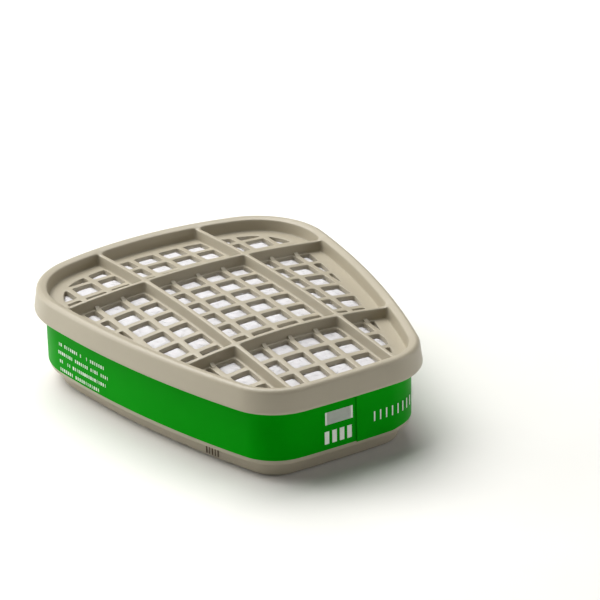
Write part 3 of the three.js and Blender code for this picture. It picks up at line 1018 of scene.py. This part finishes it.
film = Finish("green_film", Specular_IOR_Level=0.04, Specular_Tint=(0.02, 1, 0.12, 1))
film_place = film.place()
ink_cloud = film.noise(film_place, 70.0, 3.0)
film.feed("Base Color", film.blend(ink_cloud, (0.0003, 0.25, 0.001, 1), (0.0006, 0.31, 0.003, 1)))
film.feed("Roughness", 0.36 + 0.12 * film.noise(film_place, 260.0))
upright = film.node("ShaderNodeMapping", {}, {"Vector": film_place, "Scale": (1, 1, 0.25)})
film.feed("Normal", film.bump(film.noise(upright, 120.0), 0.12, 0.0004))
label_piece = label.piece("green_label", film.material)
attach(label_piece, "root")
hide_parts("label_band")


# ---- The printing: pale ink on the film. Plain bars stand where the real label carries text: four fine
# lines on the left side, a block and a heavy row left of the seam, and an open row to the right of it.
# They hold no lettering.
printing = Recipe("printed_row", Mark=0.001, Pitch=0.0015, Height=0.001, Depth=0.00005, Keep=0.85,
                  Shortest=0.6, Seed=3)
path = printing.node("GeometryNodeMeshToCurve", {}, {0: Wire(printing, printing.given.outputs["Geometry"])})
spots = printing.node("GeometryNodeResampleCurve", {"mode": "LENGTH"}, {
    "Curve": path, "Length": printing.size("Pitch")})
tangent = printing.node("GeometryNodeInputTangent", {}, {})
facing = printing.node("FunctionNodeAlignRotationToVector", {"axis": "X"}, {"Vector": tangent})
bar = printing.node("GeometryNodeMeshCube", {}, {
    "Size": printing.vector(printing.size("Mark"), printing.size("Depth"), printing.size("Height"))})
kept = printing.node("FunctionNodeRandomValue", {"data_type": "BOOLEAN"}, {
    "Probability": printing.size("Keep"), "Seed": printing.size("Seed")}, 3)
width = printing.node("FunctionNodeRandomValue", {"data_type": "FLOAT"}, {
    2: printing.size("Shortest"), 3: 1.0, "Seed": printing.size("Seed") + 1}, 1)
rows = printing.node("GeometryNodeInstanceOnPoints", {}, {
    "Points": spots, "Selection": kept, "Instance": bar, "Rotation": facing,
    "Scale": printing.vector(width, 1.0, 1.0)})


def ink(name, colour, lighter):
    finish = Finish(name, Roughness=0.5, Specular_IOR_Level=0.2)
    where = finish.place()
    finish.feed("Base Color", finish.blend(finish.noise(where, 1500.0), colour + (1,), lighter + (1,)))
    return finish.material


printing.close(rows, ink("pale_ink", (0.72, 0.78, 0.70), (0.85, 0.88, 0.82)))
print_inset, left_side_x = label_inset - 0.02, -20


def row_path(inset, start_x, reach, height):
    """A level row on the wall that starts at a place on the narrow end."""
    return [(p.x, p.y, height) for p in along_outline(inset, start_x, reach, 0.5)[0]]


def row_mesh(name, rows_of_points):
    points, edges = [], []
    for row in rows_of_points:
        start = len(points)
        points.extend(row)
        edges.extend((start + i, start + i + 1) for i in range(len(row) - 1))
    return seed_mesh(name, points, edges)


def printed(name, rows_of_points, **sizes):
    piece = printing.grow(name, row_mesh(name + "_path", rows_of_points), **sizes)
    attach(piece, "root")
    return piece


def side_row(start_y, end_y, height):
    """A row on the left side between two places along the length."""
    whole = [p for p in along_outline(print_inset, seam_x, girth, 0.5)[0] if p.x < left_side_x]
    return [(p.x, p.y, height) for p in whole if end_y <= p.y <= start_y]


printed("fine_lines", [
    side_row(26.5, 6.3, 14.0), side_row(26.0, 4.6, 11.6), side_row(25.6, 5.6, 9.2),
    side_row(25.4, 8.6, 6.9)], Mark=0.00058, Pitch=0.00084, Height=0.0009, Keep=0.88, Shortest=0.3)
printed("heavy_row_high", [row_path(print_inset, -2.5, 0.6, 14.3)],
        Mark=0.0074, Pitch=0.004, Height=0.0034, Keep=1.0, Shortest=1.0)
printed("heavy_row_low", [row_path(print_inset, -5.7, 6.6, 9.1)],
        Mark=0.0013, Pitch=0.0021, Height=0.0034, Keep=1.0, Shortest=1.0)
printed("open_row", [row_path(print_inset - seam_lift, 7.9, 18.5, 11.2)],
        Mark=0.00038, Pitch=0.0018, Height=0.0027, Keep=1.0, Shortest=1.0)


# ---- The batch ticks: a few brown ink bars, jetted on the foot near the narrow end. They are dark and
# slightly uneven, as marks sprayed on bare plastic are. They grow as the printed rows do, in brown ink.
tick_inset, tick_start, tick_end, tick_height = base_inset - 0.14, -25.7, -29.3, 2.3
tick_spots = [p for p in along_outline(tick_inset, seam_x, girth, 0.25)[0]
              if p.x < left_side_x and tick_end <= p.y <= tick_start]
printing.close(rows, ink("brown_ink", (0.035, 0.022, 0.012), (0.09, 0.06, 0.035)))
printed("batch_ticks", [[(p.x, p.y, tick_height) for p in tick_spots]],
        Mark=0.00042, Pitch=0.00076, Height=0.0029, Keep=1.0, Shortest=0.6)
